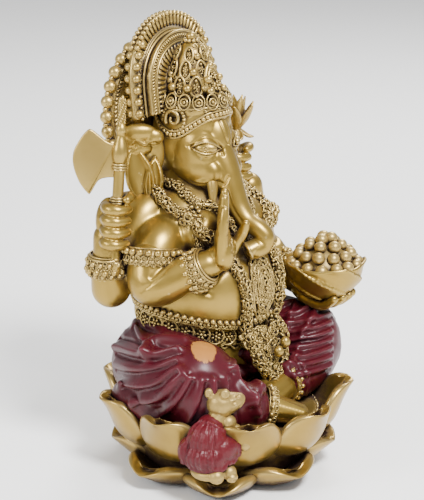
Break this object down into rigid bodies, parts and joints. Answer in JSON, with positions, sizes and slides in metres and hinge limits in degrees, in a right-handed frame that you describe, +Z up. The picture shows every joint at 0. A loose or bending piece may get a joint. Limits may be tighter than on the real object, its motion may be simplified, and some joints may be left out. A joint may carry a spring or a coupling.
{
  "type": "ganesha idol",
  "caption": "Seated four-armed elephant-headed deity figurine on a lotus base, gold-painted cast resin with burgundy cloth, holding axe, lotus flower and bowl of sweets.",
  "frame": {"origin": "middle of the underside of the base pad, on the surface the figurine stands on", "axes": "+Z up, the figure faces -Y, its right-hand side is at -X"},
  "size_m": [0.1402, 0.1239, 0.213],
  "materials": {
    "antique_gold": "antique gold paint with a dark brown wash in the hollows, satin",
    "pale_gold": "paler rubbed gold paint, satin",
    "burgundy_cloth": "burgundy painted resin, soft sheen, rubbed to gold on the right knee",
    "mouse_red": "burgundy painted resin, soft sheen",
    "base_felt": "dark brown felt",
    "pin_steel": "plain drawn rod"
  },
  "bodies": {
    "root": {"body_pin": "pin_steel", "neck_pin": "pin_steel", "right_rear_arm_pin": "pin_steel", "left_rear_arm_pin": "pin_steel", "halo_pin": "pin_steel", "base_pad": "base_felt", "lotus_seat": "antique_gold", "lotus_lower_petals": "pale_gold", "lotus_upper_petals": "pale_gold", "garland": "antique_gold", "neck_beads": "antique_gold", "chest_pendant": "antique_gold", "waist_belt": "antique_gold", "belly_chain": "antique_gold", "right_armlet": "antique_gold", "right_front_bracelet": "antique_gold", "right_rear_bracelet": "antique_gold", "right_anklet": "antique_gold", "left_armlet": "antique_gold", "left_front_bracelet": "antique_gold", "left_rear_bracelet": "antique_gold", "left_anklet": "antique_gold", "axe_handle": "antique_gold", "axe_blade": "pale_gold", "lotus_stem": "antique_gold", "lotus_flower": "pale_gold", "laddu_pile": "pale_gold", "offering_bowl": "antique_gold", "mouse_head": "pale_gold", "mouse_vest": "mouse_red", "mouse_body": "pale_gold", "mouse_offering": "pale_gold", "right_tusk": "pale_gold", "left_tusk": "pale_gold", "crown_band": "antique_gold", "crown_tiara": "antique_gold", "inner_arch": "antique_gold", "outer_arch": "antique_gold", "crown_cap": "antique_gold", "halo": "antique_gold", "right_ear": "antique_gold", "left_ear": "antique_gold", "head": "antique_gold", "torso": "antique_gold", "left_foot": "antique_gold", "right_foot": "antique_gold", "right_leg": "burgundy_cloth", "left_leg": "burgundy_cloth", "dhoti_hips": "burgundy_cloth", "right_blessing_hand": "antique_gold", "right_front_arm": "antique_gold", "right_rear_arm": "antique_gold", "left_rear_arm": "antique_gold", "left_front_arm": "antique_gold"}
  },
  "joints": []
}
